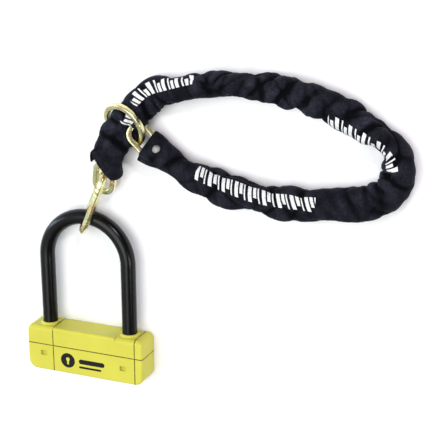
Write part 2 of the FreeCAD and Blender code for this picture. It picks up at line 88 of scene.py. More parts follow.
def make_camera():
    data = bpy.data.cameras.new("camera")
    data.sensor_width = CAMERA_SENSOR
    data.lens = CAMERA_LENS
    data.clip_end = CAMERA_REACH
    camera = add_object("camera", data)
    back = Vector(CAMERA_BACK).normalized()
    right = Vector(CAMERA_RIGHT)
    right = (right - back * right.dot(back)).normalized()
    camera.matrix_world = Matrix.Translation(CAMERA_PLACE) @ axes(right, back.cross(right), back)
    bpy.context.scene.camera = camera


def make_table():
    """A plain white table top under everything."""
    mesh = bpy.data.meshes.new("floor")
    corners = [(x * TABLE_REACH, y * TABLE_REACH, 0) for x, y in ((-1, -1), (1, -1), (1, 1), (-1, 1))]
    mesh.from_pydata(corners, [], [(0, 1, 2, 3)])
    mesh.materials.append(Shader("floor_white", TABLE_WHITE, 0.9).material)
    floor = add_object("floor", mesh)
    floor.location.z = -TABLE_DROP


def make_sky():
    """A studio's soft surround, bright at the upper left and dim at the lower right."""
    world = bpy.data.worlds.new("studio")
    bpy.context.scene.world = world
    world.use_nodes = True
    tree = world.node_tree
    place = tree.nodes.new("ShaderNodeTexCoord")
    lean = tree.nodes.new("ShaderNodeVectorMath")
    lean.operation = "DOT_PRODUCT"
    lean.inputs[1].default_value = SKY_TOWARDS
    tree.links.new(place.outputs["Generated"], lean.inputs[0])
    ramp = tree.nodes.new("ShaderNodeValToRGB")
    tree.links.new(lean.outputs["Value"], ramp.inputs["Fac"])
    for element, (position, colour) in zip(ramp.color_ramp.elements, SKY_RAMP):
        element.position = position
        element.color = colour
    background = tree.nodes["Background"]
    tree.links.new(ramp.outputs["Color"], background.inputs["Color"])
    background.inputs["Strength"].default_value = SKY_STRENGTH


def make_lamps():
    """A wide sun straight above, a box on either side, and a narrow strip that glints on the bow."""
    sun = bpy.data.lights.new("sky_light", "SUN")
    sun.energy = SUN_ENERGY
    sun.angle = math.radians(SUN_WIDTH)
    add_object("sky_light", sun).matrix_world = turned_to(SUN_TOWARDS)
    for name, place, size, power, colour, target in SOFTBOXES:
        data = bpy.data.lights.new(name, "AREA")
        data.shape = "RECTANGLE"
        data.size, data.size_y = size
        data.energy = power
        data.color = colour
        back = Vector(place) - Vector(target)
        add_object(name, data).matrix_world = Matrix.Translation(place) @ turned_to(back)


def make_stage():
    bpy.context.scene.view_settings.view_transform = "Standard"
    make_table()
    make_sky()
    make_lamps()


# ---------------------------------------------------------------- node materials
class Shader:
    """A node material with one Principled shader, and short calls that add its nodes."""

    def __init__(self, name, colour, roughness, metallic=0.0, **sockets):
        self.material = bpy.data.materials.new(name)
        self.material.use_nodes = True
        self.tree = self.material.node_tree
        self.shader = self.tree.nodes["Principled BSDF"]
        self.bumped = None
        self.set("Base Color", (*colour, 1))
        self.set("Roughness", roughness)
        self.set("Metallic", metallic)
        for socket, value in sockets.items():
            self.set(socket.replace("_", " "), value)

    def put(self, socket, value):
        """Links the value to the socket if it is a node's output, or else sets it."""
        if isinstance(value, bpy.types.NodeSocket):
            self.tree.links.new(value, socket)
        else:
            socket.default_value = value

    def set(self, socket, value):
        self.put(self.shader.inputs[socket], value)

    def node(self, kind, **inputs):
        made = self.tree.nodes.new("ShaderNode" + kind)
        for name, value in inputs.items():
            self.put(made.inputs[name], value)
        return made

    def math(self, operation, *values):
        made = self.tree.nodes.new("ShaderNodeMath")
        made.operation = operation
        for socket, value in zip(made.inputs, values):
            self.put(socket, value)
        return made.outputs[0]

    def between(self, value, low, high):
        """1 where the value is between low and high, and 0 elsewhere."""
        return self.math("MULTIPLY", self.math("GREATER_THAN", value, low),
                         self.math("LESS_THAN", value, high))

    def place(self):
        return self.tree.nodes.new("ShaderNodeTexCoord").outputs["Object"]

    def noise(self, scale, detail=4.0, distortion=0.0):
        return self.node("TexNoise", Vector=self.place(), Scale=scale, Detail=detail,
                         Distortion=distortion).outputs["Fac"]

    def level(self, value, low, high, to_low=0.0, to_high=1.0):
        """The value, mapped from low..high to to_low..to_high and held within them."""
        made = self.node("MapRange", Value=value)
        for socket, number in zip(("From Min", "From Max", "To Min", "To Max"), (low, high, to_low, to_high)):
            made.inputs[socket].default_value = number
        return made.outputs["Result"]

    def mix(self, amount, first, second):
        made = self.tree.nodes.new("ShaderNodeMix")
        made.data_type = "RGBA"
        self.put(made.inputs["Factor"], amount)
        colours = [socket for socket in made.inputs if socket.type == "RGBA"]
        for socket, value in zip(colours, (first, second)):
            self.put(socket, value if isinstance(value, bpy.types.NodeSocket) else (*value, 1))
        return next(socket for socket in made.outputs if socket.type == "RGBA")

    def bump(self, height, strength, distance):
        """Adds a bump on top of those before it."""
        made = self.node("Bump", Height=height, Strength=strength, Distance=distance)
        if self.bumped is not None:
            self.put(made.inputs["Normal"], self.bumped)
        self.bumped = made.outputs["Normal"]
        self.set("Normal", self.bumped)


# The crossbar's seams, along which shade is painted: the axis that each crosses, and its place on that axis.
SEAMS = (("X", -0.042), ("X", 0.067), ("Y", 0.0055))
SEAM_EDGE = 0.00038
SEAM_FADE = 0.0009
# The two snap pockets on its front, with shade painted in them: their middles, half sizes, the heights where
# the painted shade is darkest and where it ends, and how dark it is at the floor.
POCKETS = ((-0.0548, -0.0059), (0.0517, -0.0094))
POCKET_HALF = (0.0045, 0.0034)
POCKET_FLOOR = 0.0322
POCKET_BRIM = 0.0333
POCKET_TONE = 0.30


def yellow_plastic():
    """Moulded plastic: faint cloudiness, fine texture, paler rubbed patches, and painted shade in its seams
    and snap pockets.
    """
    made = Shader("yellow_plastic", (0.63, 0.59, 0.060), 0.42, Specular_IOR_Level=0.36)
    cloud = made.level(made.noise(22, 3), 0.35, 0.65)
    tone = made.mix(cloud, (0.615, 0.575, 0.056), (0.655, 0.62, 0.066))
    rub = made.level(made.noise(160, 6, 0.6), 0.62, 0.78, 0.0, 0.30)
    unshaded = made.mix(rub, tone, (0.66, 0.63, 0.12))
    split = made.node("SeparateXYZ", Vector=made.place())
    gap = None
    for axis, middle in SEAMS:
        away = made.math("ABSOLUTE", made.math("SUBTRACT", split.outputs[axis], middle))
        near = made.level(away, SEAM_EDGE, SEAM_FADE, 1.0, 0.0)
        gap = near if gap is None else made.math("MAXIMUM", gap, near)
    # Painted shade along each seam, unevenly dark.
    painted_shade = made.math("MULTIPLY", gap, made.level(made.noise(400, 3), 0.3, 0.6, 0.55, 0.95))
    # Painted shade in each snap pocket, darkest at its deep side and gone at its brim.
    for x, y in POCKETS:
        inside = made.math("MULTIPLY", made.math("COMPARE", split.outputs["X"], x, POCKET_HALF[0]),
                           made.math("COMPARE", split.outputs["Y"], y, POCKET_HALF[1]))
        deep = made.level(split.outputs["Z"], POCKET_FLOOR, POCKET_BRIM, POCKET_TONE, 0.0)
        painted_shade = made.math("MAXIMUM", painted_shade, made.math("MULTIPLY", inside, deep))
    # The painted shade darkens the plastic towards this dark yellow.
    made.set("Base Color", made.mix(painted_shade, unshaded, (0.075, 0.070, 0.012)))
    made.set("Roughness", made.level(made.noise(60, 4), 0.3, 0.7, 0.34, 0.50))
    made.bump(made.noise(2600, 3), 0.18, 0.00012)
    made.bump(made.noise(90, 2), 0.12, 0.0003)
    return made.material


def vinyl_coat():
    """Black dipped vinyl: satin, with a slight orange peel and thin scuffs."""
    made = Shader("vinyl_coat", (0.003, 0.003, 0.003), 0.24, Specular_IOR_Level=0.24)
    cloud = made.level(made.noise(35, 4), 0.35, 0.7)
    made.set("Base Color", made.mix(cloud, (0.0022, 0.0022, 0.0024), (0.0042, 0.0040, 0.0040)))
    made.set("Roughness", made.level(made.noise(210, 6, 1.2), 0.35, 0.75, 0.20, 0.28))
    made.bump(made.noise(200, 2), 0.03, 0.0002)
    made.bump(made.noise(3000, 2), 0.02, 0.00005)
    return made.material


def metal(name, colour, roughness):
    """Machined or drawn metal with fine streaks."""
    made = Shader(name, colour, roughness, 1.0)
    streak = made.noise(380, 8, 2.0)
    darker = tuple(0.78 * part for part in colour)
    made.set("Base Color", made.mix(made.level(streak, 0.3, 0.7), colour, darker))
    made.set("Roughness", made.level(streak, 0.3, 0.7, roughness * 0.8, roughness * 1.35))
    made.bump(made.noise(1500, 4), 0.25, 0.00008)
    return made.material


def yellow_zinc():
    """Yellow-passivated zinc plate: pale gold with green and orange tints, and a bright drawn finish."""
    made = Shader("yellow_zinc", (0.82, 0.78, 0.44), 0.22, 1.0)
    tint = made.level(made.noise(75, 3, 0.8), 0.36, 0.66)
    gold = made.mix(tint, (0.84, 0.80, 0.49), (0.68, 0.65, 0.30))
    warm = made.level(made.noise(48, 3, 1.0), 0.56, 0.70, 0.0, 0.75)
    warmed = made.mix(warm, gold, (0.74, 0.48, 0.22))
    cool = made.level(made.noise(110, 3, 0.6), 0.60, 0.74, 0.0, 0.40)
    made.set("Base Color", made.mix(cool, warmed, (0.58, 0.68, 0.52)))
    made.set("Roughness", made.level(made.noise(240, 4, 0.5), 0.3, 0.7, 0.20, 0.32))
    made.bump(made.noise(900, 3), 0.05, 0.00008)
    made.bump(made.noise(110, 2), 0.03, 0.0003)
    return made.material


def simple_plastic(name, colour, roughness):
    made = Shader(name, colour, roughness, Specular_IOR_Level=0.25)
    made.set("Roughness", made.level(made.noise(250, 5), 0.3, 0.7, roughness * 0.8, roughness * 1.2))
    made.bump(made.noise(1800, 3), 0.2, 0.0001)
    return made.material


# Bands of printed bars on the sleeve: start and end along it, and the middle angle round it at each end.
# Metres and degrees; 0 degrees is the sleeve's left side seen along its run, and 90 is its top.
PRINT_BANDS = ((0.068, 0.214, 46, 76), (0.322, 0.420, 72, 50), (0.575, 0.655, 134, 118),
               (0.6655, 0.6800, 86, 86))
PRINT_TALL = 0.0155
# One wide bar, one short bar and one thin bar repeat at this pitch; each starts and ends at a share of it.
BAR_PITCH = 0.0168
BAR_SLANT = -0.30
WIDE_BAR_END = 0.26
SHORT_BAR = (0.38, 0.60)
SHORT_BAR_TOP = 0.0026
THIN_BAR = (0.70, 0.80)
# The sleeve's way round in its UV map, and the pitch of its weave.
AROUND = 0.1
WEAVE_PITCH = 0.0011


def printed_bars(made, along, around):
    """1 where a bar is printed on the sleeve, and 0 elsewhere."""
    printed = None
    for start, end, first, last in PRINT_BANDS:
        middle = made.level(along, start, end, first / 360 * AROUND, last / 360 * AROUND)
        across = made.math("SUBTRACT", around, middle)
        slanted = made.math("ADD", made.math("SUBTRACT", along, start),
                            made.math("MULTIPLY", across, BAR_SLANT))
        share = made.math("FRACT", made.math("DIVIDE", slanted, BAR_PITCH))
        short = made.math("MULTIPLY", made.between(share, *SHORT_BAR),
                          made.math("LESS_THAN", across, SHORT_BAR_TOP))
        on_bar = made.math("MAXIMUM", made.math("LESS_THAN", share, WIDE_BAR_END),
                           made.math("MAXIMUM", short, made.between(share, *THIN_BAR)))
        in_band = made.math("MULTIPLY", made.between(across, -PRINT_TALL / 2, PRINT_TALL / 2),
                            made.between(along, start, end))
        band = made.math("MULTIPLY", on_bar, in_band)
        printed = band if printed is None else made.math("MAXIMUM", printed, band)
    return printed


def sleeve_cloth():
    """Dark woven nylon: canvas weave, painted shade in the creases and painted highlight on the ridges of the
    folds in uneven patches, and white printed bars.
    """
    made = Shader("sleeve_cloth", (0.010, 0.010, 0.015), 0.88, Sheen_Weight=0.10, Sheen_Roughness=0.30,
                  Sheen_Tint=(0.66, 0.72, 0.90, 1), Specular_IOR_Level=0.08)
    flat = made.node("UVMap")
    flat.uv_map = "cloth"
    split = made.node("SeparateXYZ", Vector=flat.outputs["UV"])
    along, around = split.outputs["X"], split.outputs["Y"]
    # The folds' height paints the cloth: dark painted shade in the creases and lighter painted highlight on
    # the ridges, in uneven patches.
    fold = made.node("Attribute")
    fold.attribute_name = "fold_shading"
    fold_light = made.level(fold.outputs["Fac"], 0.26, 0.86)
    faded = made.level(made.noise(38, 5, 0.6), 0.35, 0.72)
    patch = made.math("MULTIPLY", made.level(faded, 0.0, 1.0, 0.42, 1.25),
                      made.level(made.noise(420, 3, 0.4), 0.35, 0.65, 0.55, 1.15))
    lit = made.math("MULTIPLY", fold_light, patch)
    # From the painted shade of the creases to the painted highlight of the ridges.
    cloth = made.mix(lit, (0.0009, 0.0008, 0.0024), (0.0290, 0.0300, 0.0430))
    lint = made.level(made.noise(900, 3), 0.64, 0.82, 0.0, 0.35)
    cloth = made.mix(lint, cloth, (0.030, 0.031, 0.038))
    worn = made.level(made.noise(1100, 4), 0.30, 0.42)
    ink = made.math("MULTIPLY", printed_bars(made, along, around), worn)
    made.set("Base Color", made.mix(ink, cloth, (0.80, 0.81, 0.80)))
    warp = made.math("SINE", made.math("MULTIPLY", along, 2 * math.pi / WEAVE_PITCH))
    weft = made.math("SINE", made.math("MULTIPLY", around, 2 * math.pi / WEAVE_PITCH))
    made.bump(made.math("MULTIPLY", warp, weft), 0.35, 0.00018)
    made.bump(made.noise(1300, 3), 0.20, 0.00012)
    made.bump(made.noise(130, 5, 0.7), 0.60, 0.0014)
    return made.material


# ---------------------------------------------------------------- mesh helpers
def fit_piece(name, mesh, material, body):
    """An object of this mesh, in its material, that rides on a body and stands in a material slot."""
    mesh.materials.append(material)
    made = add_object(name, mesh)
    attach(made, body)
    return made


def new_piece(name, verts, faces, material, body, uvs=None):
    """A smooth piece from vertices and faces; uvs are one pair per face corner."""
    mesh = bpy.data.meshes.new(name)
    mesh.from_pydata([tuple(v) for v in verts], [], faces)
    if uvs is not None:
        layer = mesh.uv_layers.new(name="cloth")
        layer.data.foreach_set("uv", np.asarray(uvs, dtype=np.float32).ravel())
    mesh.shade_smooth()
    mesh.update()
    return fit_piece(name, mesh, material, body)


def closed_grid(rows, columns, wrap_rows):
    """Quads over a grid whose columns wrap round, and whose rows may too."""
    count = rows if wrap_rows else rows - 1
    return [(i * columns + j, i * columns + (j + 1) % columns,
             (i + 1) % rows * columns + (j + 1) % columns, (i + 1) % rows * columns + j)
            for i in range(count) for j in range(columns)]


def apply_modifiers(made):
    """Replaces the object's mesh with the one that its modifiers make."""
    graph = bpy.context.evaluated_depsgraph_get()
    mesh = bpy.data.meshes.new_from_object(made.evaluated_get(graph), depsgraph=graph)
    made.modifiers.clear()
    old = made.data
    made.data = mesh
    mesh.name = made.name
    bpy.data.meshes.remove(old)


def face_outwards(mesh):
    work = bmesh.new()
    work.from_mesh(mesh)
    bmesh.ops.recalc_face_normals(work, faces=work.faces)
    work.to_mesh(mesh)
    work.free()


def circle(count):
    """Cosine and sine of evenly spaced angles, once round."""
    return [(math.cos(2 * math.pi * k / count), math.sin(2 * math.pi * k / count)) for k in range(count)]


# ---------------------------------------------------------------- the sleeve
# Its middle line, from the noose link round the loop, through the ring and down to the last link.
ROUTE = ((0.0805, 0.261, 0.0178), (0.110, 0.246, 0.0172), (0.137, 0.231, 0.0172), (0.171, 0.221, 0.0172),
         (0.209, 0.2145, 0.0172), (0.248, 0.212, 0.0172), (0.286, 0.2155, 0.0172), (0.321, 0.2195, 0.0172),
         (0.351, 0.228, 0.0172), (0.367, 0.2445, 0.0172), (0.371, 0.267, 0.0172), (0.362, 0.288, 0.0172),
         (0.339, 0.302, 0.0172), (0.306, 0.318, 0.0172), (0.270, 0.3305, 0.0172), (0.234, 0.337, 0.0172),
         (0.202, 0.340, 0.0172), (0.148, 0.336, 0.0170), (0.115, 0.3275, 0.0143), (0.084, 0.3205, 0.0146),
         (0.057, 0.2845, 0.0234), (0.036, 0.254, 0.0305), (0.029, 0.230, 0.0200))
RING_STEP = 0.0016
SECTION_POINTS = 96
SECTION_POWER = 2.35  # 2 is an ellipse, and more is squarer
CLOTH_THICK = 0.0013
# Distance along the sleeve, and its width and height there.
SECTIONS = (
    (0.000, 0.0415, 0.0250), (0.012, 0.0405, 0.0260), (0.026, 0.0330, 0.0290), (0.045, 0.0275, 0.0300),
    (0.064, 0.0300, 0.0300), (0.086, 0.0390, 0.0290), (0.116, 0.0400, 0.0290), (0.141, 0.0325, 0.0310),
    (0.182, 0.0355, 0.0300), (0.215, 0.0370, 0.0300), (0.245, 0.0370, 0.0300), (0.275, 0.0375, 0.0300),
    (0.305, 0.0370, 0.0310), (0.335, 0.0300, 0.0320), (0.353, 0.0265, 0.0320), (0.380, 0.0325, 0.0310),
    (0.419, 0.0310, 0.0310), (0.447, 0.0355, 0.0300), (0.473, 0.0315, 0.0310), (0.504, 0.0290, 0.0310),
    (0.534, 0.0245, 0.0310), (0.558, 0.0280, 0.0300), (0.588, 0.0285, 0.0300), (0.614, 0.0350, 0.0290),
    (0.645, 0.0390, 0.0260), (0.672, 0.0400, 0.0230), (0.690, 0.0400, 0.0235), (0.722, 0.0385, 0.0260),
    (0.735, 0.0400, 0.0290),
)
# seed, pitch along the sleeve, turns round it, depth, and where it starts and ends along the sleeve
FOLDS = ((11, 0.052, 1, 0.0052, 0.015, 0.235), (12, 0.074, -2, 0.0046, 0.030, 0.740),
         (13, 0.029, 1, 0.0066, 0.245, 0.345), (14, 0.033, 2, 0.0072, 0.345, 0.490),
         (15, 0.049, -1, 0.0036, 0.300, 0.600), (16, 0.041, 2, 0.0058, 0.470, 0.700),
         (17, 0.120, 2, 0.0044, 0.000, 0.760), (18, 0.026, -1, 0.0034, 0.655, 0.735),
         (19, 0.0230, 2, 0.0017, 0.270, 0.700), (20, 0.0190, -2, 0.0013, 0.240, 0.620),
         (21, 0.0270, -2, 0.0013, 0.010, 0.300))
FOLD_FADE = 0.02
FOLD_SHARPNESS = 0.62
FOLD_MEAN = 0.76
# Short pleats on the inside of the bends; the full depth comes at this bend, in turns per metre.
PLEAT_DEPTH = 0.0024
PLEAT_PITCH = 0.024
PLEAT_BEND = 25
# Folds die out towards the mouths, down to this share.
CALM_REACH = 0.014
CALM_LEAST = 0.15
# The middle line drops by at most this where the sleeve would otherwise hang above the table.
MOST_SINK = 0.0035
SINK_GAP = 0.0008
# Where the cloth is kept above the table, and the height in which it flattens out.
CLOTH_LOW = 0.0005
CLOTH_SOFT = 0.0018
# How far from the sleeve's ends its plain links start, and how far the cloth's outer surface always stays
# outside the links: outside their smoothed hull, and outside the hull itself.
LINK_INSET = 0.010
COVER_SMOOTH = 0.0011
COVER_LEAST = 0.0009
# The links' surface points that count for a section: how near they lie to its plane, to its middle, and
# along the sleeve; and the least cosine between a support direction and the ray that it bounds.
PLANE_REACH = 0.0045
MIDDLE_REACH = 0.026
LINK_REACH = 0.045
LEAST_COSINE = 0.15
LONG_EDGE = 0.003
EDGE_PARTS = 7
# The rows over which the sleeve's surface is averaged, and the fold depth that spans the cloth's painted
# shade to its painted highlight.
CREASE_REACH = 9
CREASE_DEPTH = 0.0028


def spline_points(control):
    """Points of the smooth NURBS line with these control points."""
    data = bpy.data.curves.new("route", "CURVE")
    data.dimensions = "3D"
    spline = data.splines.new("NURBS")
    spline.points.add(len(control) - 1)
    for point, place in zip(spline.points, control):
        point.co = (*place, 1)
    spline.order_u = 3
    spline.use_endpoint_u = True
    spline.resolution_u = 24
    holder = add_object("route", data)
    graph = bpy.context.evaluated_depsgraph_get()
    line = bpy.data.meshes.new_from_object(holder.evaluated_get(graph), depsgraph=graph)
    points = np.array([vertex.co[:] for vertex in line.vertices])
    bpy.data.meshes.remove(line)
    bpy.data.objects.remove(holder)
    bpy.data.curves.remove(data)
    return points


def even_steps(points, step):
    """The same line at even spacing, with the distance along it of each point."""
    gaps = np.linalg.norm(np.diff(points, axis=0), axis=1)
    far = np.concatenate([[0], np.cumsum(gaps)])
    count = round(far[-1] / step) + 1
    along = np.linspace(0, far[-1], count)
    return np.stack([np.interp(along, far, points[:, axis]) for axis in range(3)], axis=1), along


def sideways_frames(centres):
    """Unit tangent, level side and upward vectors at each centre."""
    tangent = np.gradient(centres, axis=0)
    tangent /= np.linalg.norm(tangent, axis=1, keepdims=True)
    side = np.cross((0, 0, 1), tangent)
    side /= np.linalg.norm(side, axis=1, keepdims=True)
    return tangent, side, np.cross(tangent, side)


def wave(values, seed, count=5):
    """A smooth random wave in -1..1 of an array of angles in radians, from a few sines with seeded phases."""
    draw = np.random.default_rng(seed)
    total = np.zeros_like(values)
    for _ in range(count):
        total += np.sin(values * draw.uniform(0.5, 1.6) + draw.uniform(0, 2 * math.pi))
    return total / count


def soften(values, reach=5):
    """A running average along the first axis that keeps the ends."""
    kernel = np.hanning(2 * reach + 3)[1:-1]
    kernel /= kernel.sum()
    padded = np.concatenate([np.repeat(values[:1], reach, 0), values, np.repeat(values[-1:], reach, 0)])
    if values.ndim == 1:
        return np.convolve(padded, kernel, "valid")
    return np.stack([np.convolve(padded[:, k], kernel, "valid") for k in range(values.shape[1])], axis=1)


def surface_points(mesh):
    """Points on a mesh: every fourth vertex, and some along each long edge."""
    co = np.empty(len(mesh.vertices) * 3)
    mesh.vertices.foreach_get("co", co)
    co = co.reshape(-1, 3)
    ends = np.empty(len(mesh.edges) * 2, dtype=np.int64)
    mesh.edges.foreach_get("vertices", ends)
    first, last = co[ends[0::2]], co[ends[1::2]]
    long_ones = np.linalg.norm(last - first, axis=1) > LONG_EDGE
    first, last = first[long_ones], last[long_ones]
    return np.concatenate([co[::4]] + [first + (last - first) * k / EDGE_PARTS for k in range(1, EDGE_PARTS)])


def link_cover(centres, along, tangent, side, upward, angle):
    """For each section and angle, how far out the hull of the chain's links reaches there."""
    plain = sorted(name for name in NODES if name.startswith("chain_link"))
    pitch = (along[-1] - 2 * LINK_INSET) / len(plain)
    middles = {name: LINK_INSET + (number + 0.5) * pitch for number, name in enumerate(plain)}
    middles["noose_link"] = 0.0
    middles["tail_link"] = along[-1]
    clouds = [surface_points(NODES[name].data) for name in middles]
    middle = np.concatenate([np.full(len(cloud), where) for cloud, where in zip(clouds, middles.values())])
    cloud = np.concatenate(clouds)
    reach = np.zeros((len(centres), len(angle)))
    ray = np.stack([np.cos(angle), np.sin(angle)])
    between = np.cos(angle[:, None] - angle[None])
    for i, centre in enumerate(centres):
        rel = cloud - centre
        near = ((np.abs(rel @ tangent[i]) < PLANE_REACH)
                & (np.einsum("ij,ij->i", rel, rel) < MIDDLE_REACH ** 2)
                & (np.abs(middle - along[i]) < LINK_REACH))
        if not near.any():
            continue
        flat = np.stack([rel[near] @ side[i], rel[near] @ upward[i]], axis=1)
        support = (flat @ ray).max(axis=0)
        polar = np.where(between > LEAST_COSINE, support[None] / np.maximum(between, LEAST_COSINE), 1.0)
        reach[i] = polar.min(axis=1)
    return reach


def bend_pleats(run, cosine, along, tangent):
    """How far the pleats draw the cloth in, on the inner side of each bend."""
    bend = np.cross(tangent, np.gradient(tangent, along, axis=0))[:, 2]
    inner = np.clip(np.sign(bend)[:, None] * cosine, 0, 1)
    inner = inner * np.clip(np.abs(bend) / PLEAT_BEND, 0, 1)[:, None]
    row = np.clip(np.sin(2 * math.pi * run / PLEAT_PITCH + wave(run * 60, 3)), 0, 1) ** 2
    return -PLEAT_DEPTH * inner * row


def slanting_folds(run, turn, cosine):
    """Height of the folds that wind round the sleeve."""
    folds = np.zeros_like(run)
    for seed, pitch, slant, depth, start, end in FOLDS:
        phase = 2 * math.pi * run / pitch + slant * turn + 1.9 * wave(run * 55, seed)
        here = np.clip((run - start) / FOLD_FADE, 0, 1) * np.clip((end - run) / FOLD_FADE, 0, 1)
        strength = here * np.clip(0.62 + 0.9 * wave(run * 40 + 1.2 * cosine, seed + 50), 0.1, 1)
        folds += depth * strength * (np.abs(np.sin(phase / 2)) ** FOLD_SHARPNESS - FOLD_MEAN)
    return folds


def small_lumps(run, cosine, sine):
    lumps = 0.0012 * wave(run * 95 + 2 * sine + cosine, 30) + 0.0004 * wave(run * 260 + 3 * cosine, 31)
    return lumps + 0.00055 * wave(run * 620 + 4 * cosine, 32) * wave(5 * sine - run * 240, 33)


def mouth_slide(run, length, level, height):
    """How far each point moves along the sleeve to slant its mouths; height is 1 at the sleeve's top."""
    near_tail = np.clip(1 - (length - run) / 0.075, 0, 1) ** 1.6
    upper = np.clip(height * 1.5 - 0.12, 0, 1)
    upper = upper * upper * (3 - 2 * upper)
    upper_wall = np.clip(-0.0105 + 1.05 * level, -0.025, 0.003)
    lower_wall = -0.002 + 0.25 * np.clip(level, 0, 1)
    near_nose = np.clip(1 - run / 0.03, 0, 1) ** 2
    return near_tail * (upper * upper_wall + (1 - upper) * lower_wall) + near_nose * 0.10 * level


def rest_on_table(height):
    """Heights eased so that none is under CLOTH_LOW."""
    under = height < CLOTH_LOW + CLOTH_SOFT
    eased = CLOTH_LOW + CLOTH_SOFT * np.exp(np.minimum(height - CLOTH_LOW - CLOTH_SOFT, 0) / CLOTH_SOFT)
    return np.where(under, eased, height)


def make_sleeve(cloth):
    """The fabric sleeve: soft flattened sections over the links, with folds that slant across it.
    Returns it with its middle line and its outer surface, as rows of points."""
    centres, along = even_steps(spline_points(ROUTE), RING_STEP)
    tangent, side, upward = sideways_frames(centres)
    table = np.array(SECTIONS)
    scale = along[-1] / table[-1, 0]
    half_wide, half_tall = (soften(np.interp(along, table[:, 0] * scale, table[:, column]) / 2)
                            for column in (1, 2))
    angle = np.linspace(0, 2 * math.pi, SECTION_POINTS, endpoint=False)
    run, turn = np.meshgrid(along, angle, indexing="ij")
    cosine, sine = np.cos(turn), np.sin(turn)
    radius = ((np.abs(cosine) / half_wide[:, None]) ** SECTION_POWER
              + (np.abs(sine) / half_tall[:, None]) ** SECTION_POWER) ** (-1 / SECTION_POWER)
    sink = np.clip(centres[:, 2] - half_tall - SINK_GAP, 0, MOST_SINK)
    lowered = centres - sink[:, None] * np.array((0, 0, 1))
    hull = link_cover(lowered, along, tangent, side, upward, angle)
    cover = np.maximum(soften(hull, 4) + COVER_SMOOTH, hull + COVER_LEAST)
    calm = np.clip(np.minimum(run, along[-1] - run) / CALM_REACH, CALM_LEAST, 1)
    radius += (bend_pleats(run, cosine, along, tangent) + slanting_folds(run, turn, cosine)
               + small_lumps(run, cosine, sine)) * calm
    radius = np.maximum(radius, cover) + 0.0006 * np.exp(-((radius - cover) / 0.001) ** 2)
    level, rise = radius * cosine, radius * sine
    slide = mouth_slide(run, along[-1], level, rise / half_tall[:, None])
    places = lowered[:, None] + level[:, :, None] * side[:, None] + rise[:, :, None] * upward[:, None]
    places += slide[:, :, None] * tangent[:, None]
    places[:, :, 2] = rest_on_table(places[:, :, 2])
    rows, columns = run.shape
    uvs = [(along[i + di], (j + dj) / columns * AROUND)
           for i in range(rows - 1) for j in range(columns) for di, dj in ((0, 0), (0, 1), (1, 1), (1, 0))]
    sleeve = new_piece("sleeve", places.reshape(-1, 3), closed_grid(rows, columns, False), cloth, "chain",
                       uvs)
    # How far each point stands above or sinks below its averaged surface; the cloth's colour turns this into
    # painted shade in the creases and painted highlight on the ridges.
    fold_shading = np.clip(0.5 + (radius - soften(radius, CREASE_REACH)) / CREASE_DEPTH, 0, 1)
    fold_height = sleeve.data.attributes.new("fold_shading", "FLOAT", "POINT")
    fold_height.data.foreach_set("value", fold_shading.ravel().astype(np.float32))
    skin = sleeve.modifiers.new("skin", "SOLIDIFY")
    skin.thickness = CLOTH_THICK
    skin.offset = -1
    apply_modifiers(sleeve)
    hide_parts("chain_sleeve")
    return sleeve, centres, places


# ---------------------------------------------------------------- links and ring
END_WIRE = 0.0065
END_LINK = (0.016, 0.032)
# piece, node, middle, its yaw, pitch and roll in degrees, inner width and length, wire, twist of the
# wire's section in degrees, body, and how far round its weld is
LINKS = (
    ("noose_end_link", "noose_link", (0.0801, 0.2702, 0.0225), (-50, -12, -30), END_LINK, END_WIRE, 0,
     "chain", 0.18),
    ("tail_end_link", "tail_link", (0.0277, 0.2209, 0.0192), (78.2, 11.5, 0), END_LINK, END_WIRE, 0,
     "chain", 0.62),
    ("bow_link", "long_link", (0.0110, 0.1889, 0.0170), (66.4, 0, 115), (0.0216, 0.072), 0.007, 38,
     "link", 0.24),
)
LINK_STEP = 0.0012
NOOSE_RING_MIDDLE = (0.057, 0.2845, 0.0234)
NOOSE_RING_RADIUS = 0.0252
NOOSE_RING_LEVEL = (0.8, -0.6)  # the level direction in the ring's plane
NOOSE_RING_LEAN = 28.5  # degrees
NOOSE_RING_POINTS = 180
NOOSE_RING_WELD = 0.965
# The drawn wire's flat sides and rounded corners, as shares of its diameter.
WIRE_SIDE = 0.955
WIRE_CORNER = 0.24


def rounded_square(side, corner, points=6):
    """A square section with rounded corners, as (across, up) pairs."""
    flat = side / 2 - corner
    return [(sx * flat + corner * math.cos(a), sy * flat + corner * math.sin(a))
            for sx, sy, start in ((1, 1, 0), (-1, 1, 90), (-1, -1, 180), (1, -1, 270))
            for a in (math.radians(start + 90 * k / (points - 1)) for k in range(points))]


def racetrack(width, length, wire):
    """Centre line of a long round-ended link lying in XY along X, with its outward directions."""
    radius = (width + wire) / 2
    half = (length - width) / 2
    around = math.pi * radius
    total = 4 * half + 2 * around
    count = round(total / LINK_STEP)
    line = []
    for d in (total * k / count for k in range(count)):
        if d < 2 * half:
            line.append((-half + d, radius, 0.0, 1.0))
        elif d < 2 * half + around:
            a = math.pi / 2 - (d - 2 * half) / radius
            line.append((half + radius * math.cos(a), radius * math.sin(a), math.cos(a), math.sin(a)))
        elif d < 4 * half + around:
            line.append((half - (d - 2 * half - around), -radius, 0.0, -1.0))
        else:
            a = -math.pi / 2 - (d - 4 * half - around) / radius
            line.append((-half + radius * math.cos(a), radius * math.sin(a), math.cos(a), math.sin(a)))
    return line, total


def weld_swell(distance):
    """The share by which the wire swells at its weld, with a shallow groove on either side."""
    return (0.07 * math.exp(-(distance / 0.0016) ** 2)
            - 0.05 * math.exp(-((abs(distance) - 0.0032) / 0.0009) ** 2))


